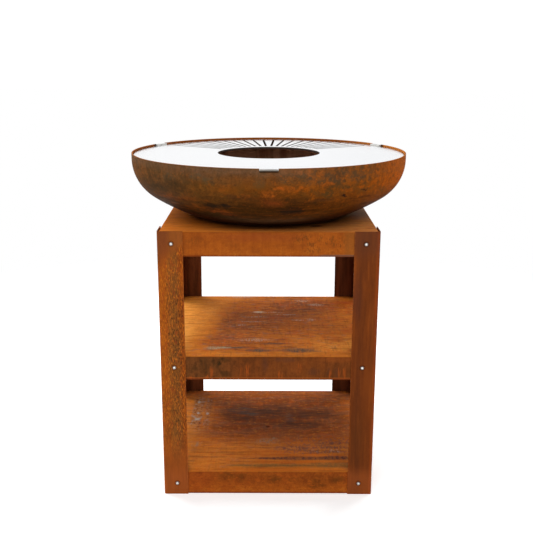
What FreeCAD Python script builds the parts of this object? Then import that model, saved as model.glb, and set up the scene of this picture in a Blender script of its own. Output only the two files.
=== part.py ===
import FreeCAD, Part
import math
import os

# Wood-fired plancha: an open stand of folded weathering-steel sheet, a dished
# fire bowl seated in the stand's top plate, and a round steel cooking plate
# hung in the bowl's rim.  Millimetres, +Z up, origin on the floor at the
# centre of the stand, -Y towards the front.

V = FreeCAD.Vector

# ---------------------------------------------------------------- dimensions
sheet_t = 3.0            # stand sheet thickness
bend_in = 2.5            # inside bend radius of every fold
bend_out = bend_in + sheet_t

tray_w = 590.0           # outside width and depth of the three trays
tray_h = 68.0            # height of a tray over its folded lips
relief = 6.5             # square corner relief where two lips meet

post_h = 773.5           # post height, floor to top
post_flange = 69.0       # width of each post flange
stand_w = tray_w + 2 * sheet_t   # outside width over the posts

top_z = 772.5            # upper face of the top plate
middle_z = 420.0         # upper face of the middle shelf
bottom_z = 69.0          # upper face of the bottom shelf
drain_d = 6.0            # drain hole in the bottom shelf

rim_r = 400.0            # bowl outside radius
bowl_t = 4.0             # bowl wall
crown_r = 640.0          # outside crown radius of the dished head
knuckle_r = 123.2        # outside knuckle radius of the dished head
straight_h = 17.0        # straight flange above the knuckle
seat_r = 220.0           # radius of the seat hole in the top plate
seat_gap = 0.12          # bowl above the edge of its seat

plate_r = 394.0          # cooking plate outside radius
plate_t = 6.0            # cooking plate thickness
plate_drop = 5.2         # plate surface below the rim
plate_hole_r = 150.0     # fire opening in the middle of the plate
slot_count = 22          # radial slots over the rear third of the plate
slot_pitch = 120.0 / slot_count
slot_w = 7.0
slot_r_in = 172.0
slot_r_out = 362.0

lug_w = 46.0             # rest lug across the rim
lug_t = 4.0
lug_r_in = 389.0         # 5 mm lap on the edge of the plate
lug_r_out = 403.0
lug_azimuths = (("front_rest_lug", 270.0), ("rear_right_rest_lug", 30.0), ("rear_left_rest_lug", 150.0))
notch_w = 48.0           # notch in the rim for each lug
notch_gap = 0.2          # lug underside above the notch floor

bolt_inset = 38.0        # bolt centre from the outside corner of the post
bolt_drop = {            # bolt centre below the upper face of each tray
    "top_plate": 33.0,
    "middle_shelf": 31.5,
    "bottom_shelf": 34.5,
}
bolt_r = 2.95            # M6 screw shank
bolt_len = 16.0
head_r = 5.25            # button head
head_h = 3.3
socket_af = 4.0          # hexagon socket across flats
socket_depth = 2.0
bolt_hole_r = 3.3
washer_r = 6.0
washer_hole_r = 3.2
washer_t = 1.6
nut_af = 10.0
nut_h = 5.0
nut_bore_r = 3.0

# ------------------------------------------------------------------- helpers


def segment(a, b):
    return Part.makeLine(V(*a), V(*b))


def arc(a, m, b):
    return Part.Arc(V(*a), V(*m), V(*b)).toShape()


def on_arc(cx, cy, r, deg):
    return (cx + r * math.cos(math.radians(deg)), cy + r * math.sin(math.radians(deg)))


def cylinder(r, h, p, d):
    return Part.makeCylinder(r, h, V(*p), V(*d))


def hexagon(af, h):
    r = af / math.sqrt(3.0)
    pts = [V(r * math.cos(math.radians(60 * i + 30)), r * math.sin(math.radians(60 * i + 30)), 0) for i in range(6)]
    return Part.Face(Part.makePolygon(pts + [pts[0]])).extrude(V(0, 0, h))


def placed(shape, position, direction):
    """A copy of a shape made along +Z, set along a direction at a position."""
    s = shape.copy()
    s.Placement = FreeCAD.Placement(V(*position), FreeCAD.Rotation(V(0, 0, 1), V(*direction)))
    return s


def turned(shape, deg):
    s = shape.copy()
    s.rotate(V(0, 0, 0), V(0, 0, 1), deg)
    return s


# --------------------------------------------------------------------- posts
half = stand_w / 2.0
tray_half = tray_w / 2.0
bolt_xy = half - bolt_inset
tray_z = {"top_plate": top_z, "middle_shelf": middle_z, "bottom_shelf": bottom_z}
levels = {name: z - bolt_drop[name] for name, z in tray_z.items()}


def post_solid():
    """Front left post: an L fold with its outside corner at (-half, -half)."""
    o, i = -half, -half + sheet_t
    e = -half + post_flange
    co = (o + bend_out, o + bend_out)
    mo = on_arc(co[0], co[1], bend_out, 225)
    mi = on_arc(co[0], co[1], bend_in, 225)
    edges = [
        segment((e, o, 0), (co[0], o, 0)),
        arc((co[0], o, 0), (mo[0], mo[1], 0), (o, co[1], 0)),
        segment((o, co[1], 0), (o, e, 0)),
        segment((o, e, 0), (i, e, 0)),
        segment((i, e, 0), (i, co[1], 0)),
        arc((i, co[1], 0), (mi[0], mi[1], 0), (co[0], i, 0)),
        segment((co[0], i, 0), (e, i, 0)),
        segment((e, i, 0), (e, o, 0)),
    ]
    solid = Part.Face(Part.Wire(edges)).extrude(V(0, 0, post_h))
    holes = []
    for z in levels.values():
        holes.append(cylinder(bolt_hole_r, sheet_t + 2, (-bolt_xy, -half - 1, z), (0, 1, 0)))
        holes.append(cylinder(bolt_hole_r, sheet_t + 2, (-half - 1, -bolt_xy, z), (1, 0, 0)))
    return solid.cut(holes)


post = post_solid()
parts = {
    "front_left_post": post,
    "front_right_post": turned(post, 90),
    "rear_right_post": turned(post, 180),
    "rear_left_post": turned(post, 270),
}

# --------------------------------------------------------------------- trays


def lip_section(z):
    """Channel section across X: flat top with a lip folded down at each side."""
    o, i = tray_half, tray_half - sheet_t
    c = tray_half - bend_out
    zb, zt = z - tray_h, z
    zc = zt - bend_out
    r2 = math.sqrt(0.5)
    edges = [
        segment((-o, 0, zb), (-o, 0, zc)),
        arc((-o, 0, zc), (-c - bend_out * r2, 0, zc + bend_out * r2), (-c, 0, zt)),
        segment((-c, 0, zt), (c, 0, zt)),
        arc((c, 0, zt), (c + bend_out * r2, 0, zc + bend_out * r2), (o, 0, zc)),
        segment((o, 0, zc), (o, 0, zb)),
        segment((o, 0, zb), (i, 0, zb)),
        segment((i, 0, zb), (i, 0, zc)),
        arc((i, 0, zc), (c + bend_in * r2, 0, zc + bend_in * r2), (c, 0, zt - sheet_t)),
        segment((c, 0, zt - sheet_t), (-c, 0, zt - sheet_t)),
        arc((-c, 0, zt - sheet_t), (-c - bend_in * r2, 0, zc + bend_in * r2), (-i, 0, zc)),
        segment((-i, 0, zc), (-i, 0, zb)),
        segment((-i, 0, zb), (-o, 0, zb)),
    ]
    return Part.Face(Part.Wire(edges))


def tray(name):
    run = tray_half - relief
    channel = lip_section(tray_z[name]).extrude(V(0, 2 * run, 0))
    channel.translate(V(0, -run, 0))
    solid = channel.fuse(turned(channel, 90)).removeSplitter()
    zb = levels[name]
    holes = []
    for s in (-1, 1):
        for w in (-1, 1):
            holes.append(cylinder(bolt_hole_r, sheet_t + 2, (s * bolt_xy, w * tray_half - 2.5 - w * 1.5, zb), (0, 1, 0)))
            holes.append(cylinder(bolt_hole_r, sheet_t + 2, (w * tray_half - 2.5 - w * 1.5, s * bolt_xy, zb), (1, 0, 0)))
    return solid.cut(holes)


parts["top_plate"] = tray("top_plate").cut(cylinder(seat_r, 20, (0, 0, top_z - 10), (0, 0, 1)))
parts["middle_shelf"] = tray("middle_shelf")
parts["bottom_shelf"] = tray("bottom_shelf").cut(cylinder(drain_d / 2.0, 20, (0, 0, bottom_z - 10), (0, 0, 1)))

# ---------------------------------------------------------------------- bowl
# Dished head: spherical crown, tangent knuckle, short straight flange.
knuckle_x = rim_r - knuckle_r
head_depth = crown_r - math.sqrt((crown_r - knuckle_r) ** 2 - knuckle_x ** 2)
seat_sag = crown_r - math.sqrt(crown_r ** 2 - seat_r ** 2)
bowl_bottom = top_z - seat_sag + seat_gap
crown_z = bowl_bottom + crown_r
knuckle_z = bowl_bottom + head_depth
rim_z = knuckle_z + straight_h
tangent_deg = math.degrees(math.atan2(knuckle_z - crown_z, knuckle_x))
rim_round = 0.8


def bowl_solid():
    def crown(r, deg):
        x, z = on_arc(0, crown_z, r, deg)
        return (x, 0, z)

    def knuckle(r, deg):
        x, z = on_arc(knuckle_x, knuckle_z, r, deg)
        return (x, 0, z)

    co, ci = crown_r, crown_r - bowl_t
    ko, ki = knuckle_r, knuckle_r - bowl_t
    ri = rim_r - bowl_t
    q = rim_round
    s = q * (1 - math.sqrt(0.5))
    edges = [
        arc(crown(co, -90), crown(co, (tangent_deg - 90) / 2), crown(co, tangent_deg)),
        arc(knuckle(ko, tangent_deg), knuckle(ko, tangent_deg / 2), knuckle(ko, 0)),
        segment((rim_r, 0, knuckle_z), (rim_r, 0, rim_z - q)),
        arc((rim_r, 0, rim_z - q), (rim_r - s, 0, rim_z - s), (rim_r - q, 0, rim_z)),
        segment((rim_r - q, 0, rim_z), (ri + q, 0, rim_z)),
        arc((ri + q, 0, rim_z), (ri + s, 0, rim_z - s), (ri, 0, rim_z - q)),
        segment((ri, 0, rim_z - q), (ri, 0, knuckle_z)),
        arc(knuckle(ki, 0), knuckle(ki, tangent_deg / 2), knuckle(ki, tangent_deg)),
        arc(crown(ci, tangent_deg), crown(ci, (tangent_deg - 90) / 2), crown(ci, -90)),
        segment(crown(ci, -90), crown(co, -90)),
    ]
    solid = Part.Face(Part.Wire(edges)).revolve(V(0, 0, 0), V(0, 0, 1), 360)
    floor = rim_z - plate_drop - notch_gap
    notches = []
    for _, az in lug_azimuths:
        n = Part.makeBox(40, notch_w, 20, V(rim_r - 25, -notch_w / 2.0, floor))
        notches.append(turned(n, az))
    return solid.cut(notches)


parts["fire_bowl"] = bowl_solid()

# ------------------------------------------------------------- cooking plate
plate_z = rim_z - plate_drop


def plate_solid():
    q = 0.8
    s = q * (1 - math.sqrt(0.5))
    zb, zt = plate_z - plate_t, plate_z
    edges = [
        segment((plate_hole_r, 0, zb), (plate_r, 0, zb)),
        segment((plate_r, 0, zb), (plate_r, 0, zt - q)),
        arc((plate_r, 0, zt - q), (plate_r - s, 0, zt - s), (plate_r - q, 0, zt)),
        segment((plate_r - q, 0, zt), (plate_hole_r + q, 0, zt)),
        arc((plate_hole_r + q, 0, zt), (plate_hole_r + s, 0, zt - s), (plate_hole_r, 0, zt - q)),
        segment((plate_hole_r, 0, zt - q), (plate_hole_r, 0, zb)),
    ]
    ring = Part.Face(Part.Wire(edges)).revolve(V(0, 0, 0), V(0, 0, 1), 360)
    h = slot_w / 2.0
    a, b = slot_r_in + h, slot_r_out - h
    z0 = plate_z - plate_t - 2
    outline = Part.Wire([
        segment((a, -h, z0), (b, -h, z0)),
        arc((b, -h, z0), (b + h, 0, z0), (b, h, z0)),
        segment((b, h, z0), (a, h, z0)),
        arc((a, h, z0), (a - h, 0, z0), (a, -h, z0)),
    ])
    slot = Part.Face(outline).extrude(V(0, 0, plate_t + 4))
    slots = [turned(slot, 90.0 + (i - (slot_count - 1) / 2.0) * slot_pitch) for i in range(slot_count)]
    return ring.cut(slots)


parts["plancha_plate"] = plate_solid()

for name, az in lug_azimuths:
    bar = Part.makeBox(lug_r_out - lug_r_in, lug_w, lug_t, V(lug_r_in, -lug_w / 2.0, plate_z))
    top_and_ends = [
        e for e in bar.Edges
        if abs(e.CenterOfMass.z - plate_z - lug_t) < 1e-6 or abs(e.CenterOfMass.z - plate_z - lug_t / 2.0) < 1e-6
    ]
    parts[name] = turned(bar.makeFillet(0.6, top_and_ends), az)

# ----------------------------------------------------------------- fasteners


def bolt_solid():
    """Button-head screw along -Z from the underside of its head at z = 0."""
    edges = [
        segment((0, 0, head_h), (2.7, 0, head_h)),
        arc((2.7, 0, head_h), (4.35, 0, 2.25), (head_r, 0, 0.5)),
        segment((head_r, 0, 0.5), (head_r, 0, 0)),
        segment((head_r, 0, 0), (bolt_r, 0, 0)),
        segment((bolt_r, 0, 0), (bolt_r, 0, -bolt_len + 0.6)),
        segment((bolt_r, 0, -bolt_len + 0.6), (bolt_r - 0.6, 0, -bolt_len)),
        segment((bolt_r - 0.6, 0, -bolt_len), (0, 0, -bolt_len)),
        segment((0, 0, -bolt_len), (0, 0, head_h)),
    ]
    solid = Part.Face(Part.Wire(edges)).revolve(V(0, 0, 0), V(0, 0, 1), 360)
    socket = hexagon(socket_af, 5.0)
    socket.translate(V(0, 0, head_h - socket_depth))
    return solid.cut(socket)


def washer_solid():
    """Flat washer from z = 0 down."""
    disc = Part.makeCylinder(washer_r, washer_t, V(0, 0, -washer_t))
    return disc.cut(Part.makeCylinder(washer_hole_r, washer_t + 2, V(0, 0, -washer_t - 1)))


def nut_solid():
    """Hexagon nut from z = 0 down, corners chamfered on both faces."""
    body = hexagon(nut_af, nut_h)
    body.translate(V(0, 0, -nut_h))
    c = 0.75
    rf, rc = nut_af / 2.0 * 0.95, nut_af / math.sqrt(3.0) + 0.1
    edges = [
        segment((0, 0, 0), (rf, 0, 0)),
        segment((rf, 0, 0), (rc, 0, -c)),
        segment((rc, 0, -c), (rc, 0, -nut_h + c)),
        segment((rc, 0, -nut_h + c), (rf, 0, -nut_h)),
        segment((rf, 0, -nut_h), (0, 0, -nut_h)),
        segment((0, 0, -nut_h), (0, 0, 0)),
    ]
    spindle = Part.Face(Part.Wire(edges)).revolve(V(0, 0, 0), V(0, 0, 1), 360)
    return body.common(spindle).cut(Part.makeCylinder(nut_bore_r, nut_h + 2, V(0, 0, -nut_h - 1)))


bolt, washer, nut = bolt_solid(), washer_solid(), nut_solid()
for level, z in levels.items():
    seats = []
    for s in (-1, 1):
        for w in (-1, 1):
            seats.append(((s * bolt_xy, w, z), (0, w, 0), 1))
            seats.append(((w, s * bolt_xy, z), (w, 0, 0), 0))

    def group(shape, distance):
        out = []
        for p, d, k in seats:
            q = list(p)
            q[k] = p[k] * distance
            out.append(placed(shape, q, d))
        return Part.makeCompound(out)

    lip_inside = half - 2 * sheet_t
    parts[level + "_bolts"] = group(bolt, half)
    parts[level + "_washers"] = group(washer, lip_inside)
    parts[level + "_nuts"] = group(nut, lip_inside - washer_t)

# -------------------------------------------------------------------- export
os.makedirs("parts", exist_ok=True)
for name, shape in sorted(parts.items()):
    solids = shape.Solids
    bad = [s for s in solids if not s.isValid()]
    box = shape.BoundBox
    print("%-24s solids %2d %s volume %.1f cm3  x %.1f..%.1f y %.1f..%.1f z %.1f..%.1f" % (
        name, len(solids), "INVALID" if bad else "ok", shape.Volume / 1000.0,
        box.XMin, box.XMax, box.YMin, box.YMax, box.ZMin, box.ZMax))
    shape.exportStep(os.path.join("parts", name + ".step"))
print("rim %.2f  bowl bottom %.2f  plate top %.2f  head depth %.2f" % (rim_z, bowl_bottom, plate_z, head_depth))
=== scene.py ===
import bpy
import math
from mathutils import Matrix, Vector


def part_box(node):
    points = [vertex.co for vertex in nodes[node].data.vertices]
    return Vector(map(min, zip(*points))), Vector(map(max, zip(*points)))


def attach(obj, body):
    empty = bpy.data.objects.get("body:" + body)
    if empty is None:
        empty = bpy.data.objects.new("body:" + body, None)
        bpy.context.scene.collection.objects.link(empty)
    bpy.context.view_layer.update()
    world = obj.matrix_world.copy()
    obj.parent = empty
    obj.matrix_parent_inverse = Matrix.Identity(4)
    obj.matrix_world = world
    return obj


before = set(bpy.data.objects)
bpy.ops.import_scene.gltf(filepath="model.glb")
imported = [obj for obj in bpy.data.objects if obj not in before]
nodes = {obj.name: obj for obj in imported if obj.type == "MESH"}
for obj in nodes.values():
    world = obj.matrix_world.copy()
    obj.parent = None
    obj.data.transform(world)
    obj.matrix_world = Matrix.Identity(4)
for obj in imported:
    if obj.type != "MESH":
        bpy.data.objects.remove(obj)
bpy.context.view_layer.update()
scene = bpy.context.scene

# ------------------------------------------------------------------- camera
# Solved from the edges of the stand and the rim: 817.8 px focal length in a 533 px frame.
cam_data = bpy.data.cameras.new("camera")
cam_data.sensor_width = 36.0
cam_data.lens = 817.820 / 533.0 * 36.0
cam_data.clip_start, cam_data.clip_end = 0.05, 100.0
camera = bpy.data.objects.new("camera", cam_data)
scene.collection.objects.link(camera)
camera.matrix_world = (
    Matrix.Translation((-0.004939, -2.420126, 1.225921))
    @ Matrix.Rotation(0.000269, 4, "Z")
    @ Matrix.Rotation(math.pi / 2 - 0.252616, 4, "X")
    @ Matrix.Rotation(0.002418, 4, "Z")
)
scene.camera = camera

scene.view_settings.view_transform = "Standard"
scene.view_settings.look = "None"
scene.view_settings.exposure = 0.0
scene.view_settings.gamma = 1.0


# ------------------------------------------------------------- node helpers
def srgb(r, g, b, a=1.0):
    def f(c):
        c /= 255.0
        return c / 12.92 if c <= 0.04045 else ((c + 0.055) / 1.055) ** 2.4
    return (f(r), f(g), f(b), a)


class Net:
    """A material's node tree, with short calls for the nodes used here."""

    def __init__(self, name):
        self.material = bpy.data.materials.new(name)
        self.material.use_nodes = True
        self.tree = self.material.node_tree
        self.tree.nodes.clear()
        tc = self.new("ShaderNodeTexCoord")
        self.P = tc.outputs["Object"]
        self.N = tc.outputs["Normal"]
        s = self.new("ShaderNodeSeparateXYZ")
        self.put(s.inputs[0], self.P)
        self.X, self.Y, self.Z = s.outputs
        s = self.new("ShaderNodeSeparateXYZ")
        self.put(s.inputs[0], self.N)
        self.NX, self.NY, self.NZ = s.outputs

    def new(self, kind, **attrs):
        n = self.tree.nodes.new(kind)
        for k, v in attrs.items():
            setattr(n, k, v)
        return n

    def put(self, socket, value):
        if isinstance(value, bpy.types.NodeSocket):
            self.tree.links.new(value, socket)
        else:
            socket.default_value = value

    def place(self, scale=(1, 1, 1), shift=(0, 0, 0), v=None):
        n = self.new("ShaderNodeMapping")
        self.put(n.inputs["Vector"], self.P if v is None else v)
        n.inputs["Scale"].default_value = scale
        n.inputs["Location"].default_value = shift
        return n.outputs[0]

    def noise(self, scale, detail=4.0, rough=0.55, seed=0.0, bend=0.0, v=None):
        """Noise of mean 0.5; scale is in features per metre, one number or one per axis."""
        if isinstance(scale, (int, float)):
            scale = (scale, scale, scale)
        n = self.new("ShaderNodeTexNoise")
        self.put(n.inputs["Vector"], self.place(scale, (seed * 7.31, seed * 3.17, seed * 5.77), v))
        n.inputs["Scale"].default_value = 1.0
        n.inputs["Detail"].default_value = detail
        n.inputs["Roughness"].default_value = rough
        n.inputs["Distortion"].default_value = bend
        return n.outputs[0]

    def cells(self, scale, seed=0.0, feature="F1", v=None):
        if isinstance(scale, (int, float)):
            scale = (scale, scale, scale)
        n = self.new("ShaderNodeTexVoronoi", feature=feature)
        self.put(n.inputs["Vector"], self.place(scale, (seed * 5.13, seed * 2.71, seed * 8.9), v))
        n.inputs["Scale"].default_value = 1.0
        return n.outputs[0]

    def math(self, op, a, b=0.0, clamp=False):
        n = self.new("ShaderNodeMath", operation=op, use_clamp=clamp)
        self.put(n.inputs[0], a)
        self.put(n.inputs[1], b)
        return n.outputs[0]

    def add(self, a, b):
        return self.math("ADD", a, b)

    def sub(self, a, b):
        return self.math("SUBTRACT", a, b)

    def mul(self, a, b):
        return self.math("MULTIPLY", a, b)

    def top(self, a, b):
        return self.math("MAXIMUM", a, b)

    def low(self, a, b):
        return self.math("MINIMUM", a, b)

    def mad(self, a, b, c):
        n = self.new("ShaderNodeMath", operation="MULTIPLY_ADD")
        for i, x in enumerate((a, b, c)):
            self.put(n.inputs[i], x)
        return n.outputs[0]

    def step(self, v, a, b, lo=0.0, hi=1.0):
        """Smooth step from lo at v = a to hi at v = b; a may be above b."""
        n = self.new("ShaderNodeMapRange", interpolation_type="SMOOTHSTEP")
        if a > b:
            a, b, lo, hi = b, a, hi, lo
        self.put(n.inputs["Value"], v)
        n.inputs["From Min"].default_value = a
        n.inputs["From Max"].default_value = b
        n.inputs["To Min"].default_value = lo
        n.inputs["To Max"].default_value = hi
        return n.outputs[0]

    def ramp(self, v, stops, interpolation="LINEAR"):
        n = self.new("ShaderNodeValToRGB")
        self.put(n.inputs[0], v)
        r = n.color_ramp
        r.interpolation = interpolation
        while len(r.elements) < len(stops):
            r.elements.new(0.5)
        for e, (p, c) in zip(r.elements, stops):
            e.position = p
            e.color = c if len(c) == 4 else (*c, 1.0)
        return n.outputs[0]

    def mix(self, f, a, b, blend="MIX"):
        n = self.new("ShaderNodeMix", data_type="RGBA", blend_type=blend)
        self.put(n.inputs[0], f)
        self.put(n.inputs[6], a)
        self.put(n.inputs[7], b)
        return n.outputs[2]

    def lerp(self, f, a, b):
        return self.mad(f, self.sub(b, a), a)

    def join(self, x, y, z=0.0):
        n = self.new("ShaderNodeCombineXYZ")
        for i, c in enumerate((x, y, z)):
            self.put(n.inputs[i], c)
        return n.outputs[0]

    def shake(self, v, amount, scale, seed):
        """A coordinate shaken by noise, so that the edges drawn with it are ragged."""
        return self.mad(self.sub(self.noise(scale, 3, 0.6, seed), 0.5), 2.0 * amount, v)

    def patches(self, u, v, spots, soft=0.75):
        """1 inside any of the ellipses (centre u, v, radius u, v), falling softly to 0 at their edges."""
        m = None
        for cu, cv, ru, rv in spots:
            b = self.blob(u, v, cu, cv, ru, rv, soft)
            m = b if m is None else self.top(m, b)
        return m

    def blob(self, u, v, cu, cv, ru, rv, soft=0.6):
        """1 inside an ellipse in two coordinates, falling softly to 0 at its edge."""
        a = self.mul(self.sub(u, cu), 1.0 / ru)
        b = self.mul(self.sub(v, cv), 1.0 / rv)
        d = self.math("SQRT", self.add(self.mul(a, a), self.mul(b, b)))
        return self.step(d, 1.0, 1.0 - soft)

    def bump(self, height, strength, distance, normal=None):
        n = self.new("ShaderNodeBump")
        n.inputs["Strength"].default_value = strength
        n.inputs["Distance"].default_value = distance
        self.put(n.inputs["Height"], height)
        if normal is not None:
            self.put(n.inputs["Normal"], normal)
        return n.outputs[0]

    def shader(self, color, rough, metallic=0.0, normal=None, specular=0.5, **more):
        b = self.new("ShaderNodeBsdfPrincipled")
        self.put(b.inputs["Base Color"], color)
        self.put(b.inputs["Roughness"], rough)
        self.put(b.inputs["Metallic"], metallic)
        b.inputs["Specular IOR Level"].default_value = specular
        for k, v in more.items():
            b.inputs[k.replace("_", " ")].default_value = v
        if normal is not None:
            self.put(b.inputs["Normal"], normal)
        out = self.new("ShaderNodeOutputMaterial")
        self.tree.links.new(b.outputs[0], out.inputs["Surface"])
        return self.material


def dress(name, material):
    o = nodes[name]
    o.data.materials.clear()
    o.data.materials.append(material)


# --------------------------------------------------------------- weathering
# Patina from its darkest to its brightest; a patina value picks the place along it.
RUST = [
    (0.00, srgb(30, 16, 8)),
    (0.22, srgb(78, 38, 14)),
    (0.42, srgb(122, 58, 18)),
    (0.58, srgb(156, 79, 23)),
    (0.78, srgb(200, 118, 40)),
    (1.00, srgb(236, 158, 70)),
]
RED = [
    (0.00, srgb(30, 14, 6)),
    (0.25, srgb(74, 34, 13)),
    (0.50, srgb(112, 54, 19)),
    (0.75, srgb(146, 74, 27)),
    (1.00, srgb(190, 110, 46)),
]
OLIVE = [
    (0.00, srgb(24, 16, 9)),
    (0.25, srgb(64, 41, 21)),
    (0.50, srgb(104, 66, 34)),
    (0.75, srgb(138, 92, 50)),
    (1.00, srgb(178, 130, 82)),
]
AMBER = [
    (0.00, srgb(24, 13, 4)),
    (0.25, srgb(64, 34, 10)),
    (0.50, srgb(106, 56, 16)),
    (0.75, srgb(146, 77, 22)),
    (1.00, srgb(190, 108, 38)),
]
SOOT_SHADE = srgb(40, 27, 18)
DRAB = srgb(106, 78, 38)


def grain(n, stretch, seed, cloud, mottle, fine, bias=0.5):
    """Patina value round bias: clouds, stretched mottling and fine grain, each with its own weight."""
    sx, sy, sz = stretch
    a = n.noise((6 * sx ** 0.5, 6 * sy ** 0.5, 6 * sz ** 0.5), 3, 0.5, seed)
    b = n.noise((70 * sx, 70 * sy, 70 * sz), 5, 0.62, seed + 1)
    c = n.noise((330 * sx, 330 * sy, 330 * sz), 2, 0.5, seed + 2)
    v = n.mad(n.sub(a, 0.5), cloud * 2, bias)
    v = n.mad(n.sub(b, 0.5), mottle * 2, v)
    v = n.mad(n.sub(c, 0.5), fine * 2, v)
    return v, a, b, c


# -------------------------------------------------------------------- posts
def post_material(name, sx, sy, seed, smooth, mottled, front):
    """Rust of an L post at the corner (sx, sy): calm patina, and mottled zones with dark and orange dashes."""
    n = Net(name)
    side = n.step(n.math("ABSOLUTE", n.NX), 0.4, 0.6)
    s = n.lerp(side, n.mad(n.X, -sx, 0.298), n.mad(n.Y, -sy, 0.298))
    u = n.mul(n.shake(s, 0.007, (45, 45, 14), seed + 20), 1 / 0.069)
    v, a, b, c = grain(n, (1.0, 1.0, 0.30), seed, 0.14, 0.07, 0.05)

    calm = n.ramp(n.add(v, smooth - 0.5), RED)
    veins = n.noise((120, 120, 9), 3, 0.55, seed + 3)
    calm = n.mix(n.step(veins, 0.50, 0.66, 0.0, 0.30), calm, srgb(74, 38, 18))
    calm = n.mix(n.step(veins, 0.46, 0.32, 0.0, 0.22), calm, srgb(156, 78, 26))

    w = n.mad(n.sub(b, 0.5), 0.40, n.add(v, n.step(n.Z, 0.20, 0.46, -0.072, -0.040)))
    rich = n.ramp(w, RUST)
    rich = n.mix(n.mul(n.step(u, 0.60, 0.38, 0.0, 0.42), n.step(n.Z, 0.30, 0.50, 0.70, 1.0)), rich, srgb(188, 99, 26))
    drab = n.mul(n.mul(n.step(u, 0.26, 0.42), n.step(u, 0.90, 0.70)), n.step(a, 0.34, 0.56, 0.4, 1.0))
    rich = n.mix(n.mul(drab, 0.50), rich, DRAB)
    d1 = n.noise((500, 500, 96), 2, 0.55, seed + 5, 0.4)
    d2 = n.noise((460, 460, 90), 2, 0.55, seed + 6, 0.4)
    d3 = n.noise((210, 210, 60), 2, 0.55, seed + 12, 0.4)
    where = n.mul(n.step(u, 0.16, 0.42, 0.45, 1.0), n.step(n.noise((14, 14, 6), 2, 0.5, seed + 7), 0.34, 0.50, 0.60, 1.0))
    if front == "mottled":
        where = n.mul(where, n.step(n.Z, 0.72, 0.56, 0.40, 1.0))
    dark = n.mul(n.step(d1, 0.48, 0.62), where)
    glow = n.step(d2, 0.51, 0.64)
    rich = n.mix(n.mul(n.step(d3, 0.53, 0.64), 0.55), rich, srgb(140, 58, 24))
    rich = n.mix(n.mul(glow, 0.64), rich, srgb(202, 110, 28))
    rich = n.mix(n.mul(dark, 0.80), rich, srgb(58, 38, 20))

    patchy = n.step(n.noise((5, 5, 2.4), 3, 0.55, seed + 8), 0.62 - 0.24 * mottled, 0.74 - 0.24 * mottled)
    if front == "mottled":
        # calm above a slanting edge near the top and below a ragged line near the foot
        edge = n.shake(n.mad(u, -0.066, n.Z), 0.022, (30, 30, 14), seed + 9)
        foot = n.shake(n.Z, 0.03, (26, 26, 9), seed + 10)
        shown = n.mul(n.step(edge, 0.690, 0.655), n.step(foot, 0.075, 0.21))
        patchy = n.lerp(n.step(n.NY, -0.4, -0.6), patchy, shown)
    if front == "calm":
        ahead = n.step(n.NY, -0.4, -0.6)
        patchy = n.mul(patchy, n.sub(1.0, ahead))
        band = n.mul(n.step(u, 0.42, 0.60), n.step(u, 0.95, 0.78))
        calm = n.mix(n.mul(n.mul(band, ahead), 0.26), calm, srgb(72, 38, 22))
        calm = n.mix(n.mul(n.step(u, 0.22, 0.06, 0.0, 0.35), ahead), calm, srgb(150, 62, 24))
    calm = n.mix(n.step(n.shake(n.Z, 0.02, (30, 30, 10), seed + 11), 0.680, 0.745, 0.0, 0.38), calm, srgb(92, 55, 38))
    calm = n.mix(n.step(n.Z, 0.095, 0.050, 0.0, 0.42), calm, srgb(154, 78, 36))
    if front == "mottled":
        amber = n.mul(n.mul(n.step(u, 0.30, 0.60), n.step(n.Z, 0.60, 0.70)), n.step(n.NY, -0.4, -0.6))
        calm = n.mix(n.mul(amber, 0.50), calm, srgb(152, 84, 30))
    if front == "calm":
        # slow changes of tone down the front: dark near the top and above the foot, cooler along the inner edge
        ub, zb = n.shake(u, 0.16, (20, 20, 8), seed + 14), n.shake(n.Z, 0.03, (16, 16, 8), seed + 15)
        calm = n.mix(n.mul(n.mul(n.blob(ub, zb, 0.62, 0.175, 0.58, 0.125, 0.9), ahead), 0.40), calm, srgb(80, 43, 18))
        calm = n.mix(n.mul(n.mul(n.blob(ub, zb, 0.50, 0.705, 0.60, 0.085, 0.9), ahead), 0.12), calm, srgb(82, 44, 28))
        calm = n.mix(n.mul(n.mul(n.blob(ub, zb, 0.88, 0.590, 0.34, 0.110, 0.9), ahead), 0.42), calm, srgb(78, 42, 32))
        calm = n.mix(n.mul(n.mul(n.blob(ub, zb, 0.26, 0.330, 0.40, 0.090, 0.9), ahead), 0.26), calm, srgb(138, 70, 26))
    color = n.mix(patchy, calm, rich)
    if front == "mottled":
        shadow = n.mul(n.blob(n.shake(u, 0.16, (20, 20, 8), seed + 14), n.shake(n.Z, 0.02, (16, 16, 8), seed + 15), 0.28, 0.185, 0.30, 0.040, 0.9), n.step(n.NY, -0.4, -0.6))
        color = n.mix(n.mul(shadow, 0.42), color, srgb(90, 48, 20))

    # painted shade: faces that look into the stand are darkened
    facing = n.add(n.mul(n.NX, -sx), n.mul(n.NY, -sy))
    inside = n.step(facing, 0.2, 0.6)
    shade = n.mix(n.step(n.noise((60, 60, 5), 3, 0.55, seed + 13), 0.36, 0.64), srgb(74, 39, 24), srgb(112, 60, 35))
    color = n.mix(n.mul(inside, 0.80), color, shade)
    # a darker ring round each screw head
    ring = n.patches(s, n.Z, ((0.038, 0.7395, 0.011, 0.011), (0.038, 0.3885, 0.011, 0.011), (0.038, 0.0345, 0.011, 0.011)), 0.5)
    color = n.mix(n.mul(n.mul(ring, n.sub(1.0, inside)), 0.42), color, srgb(62, 34, 17))
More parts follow.
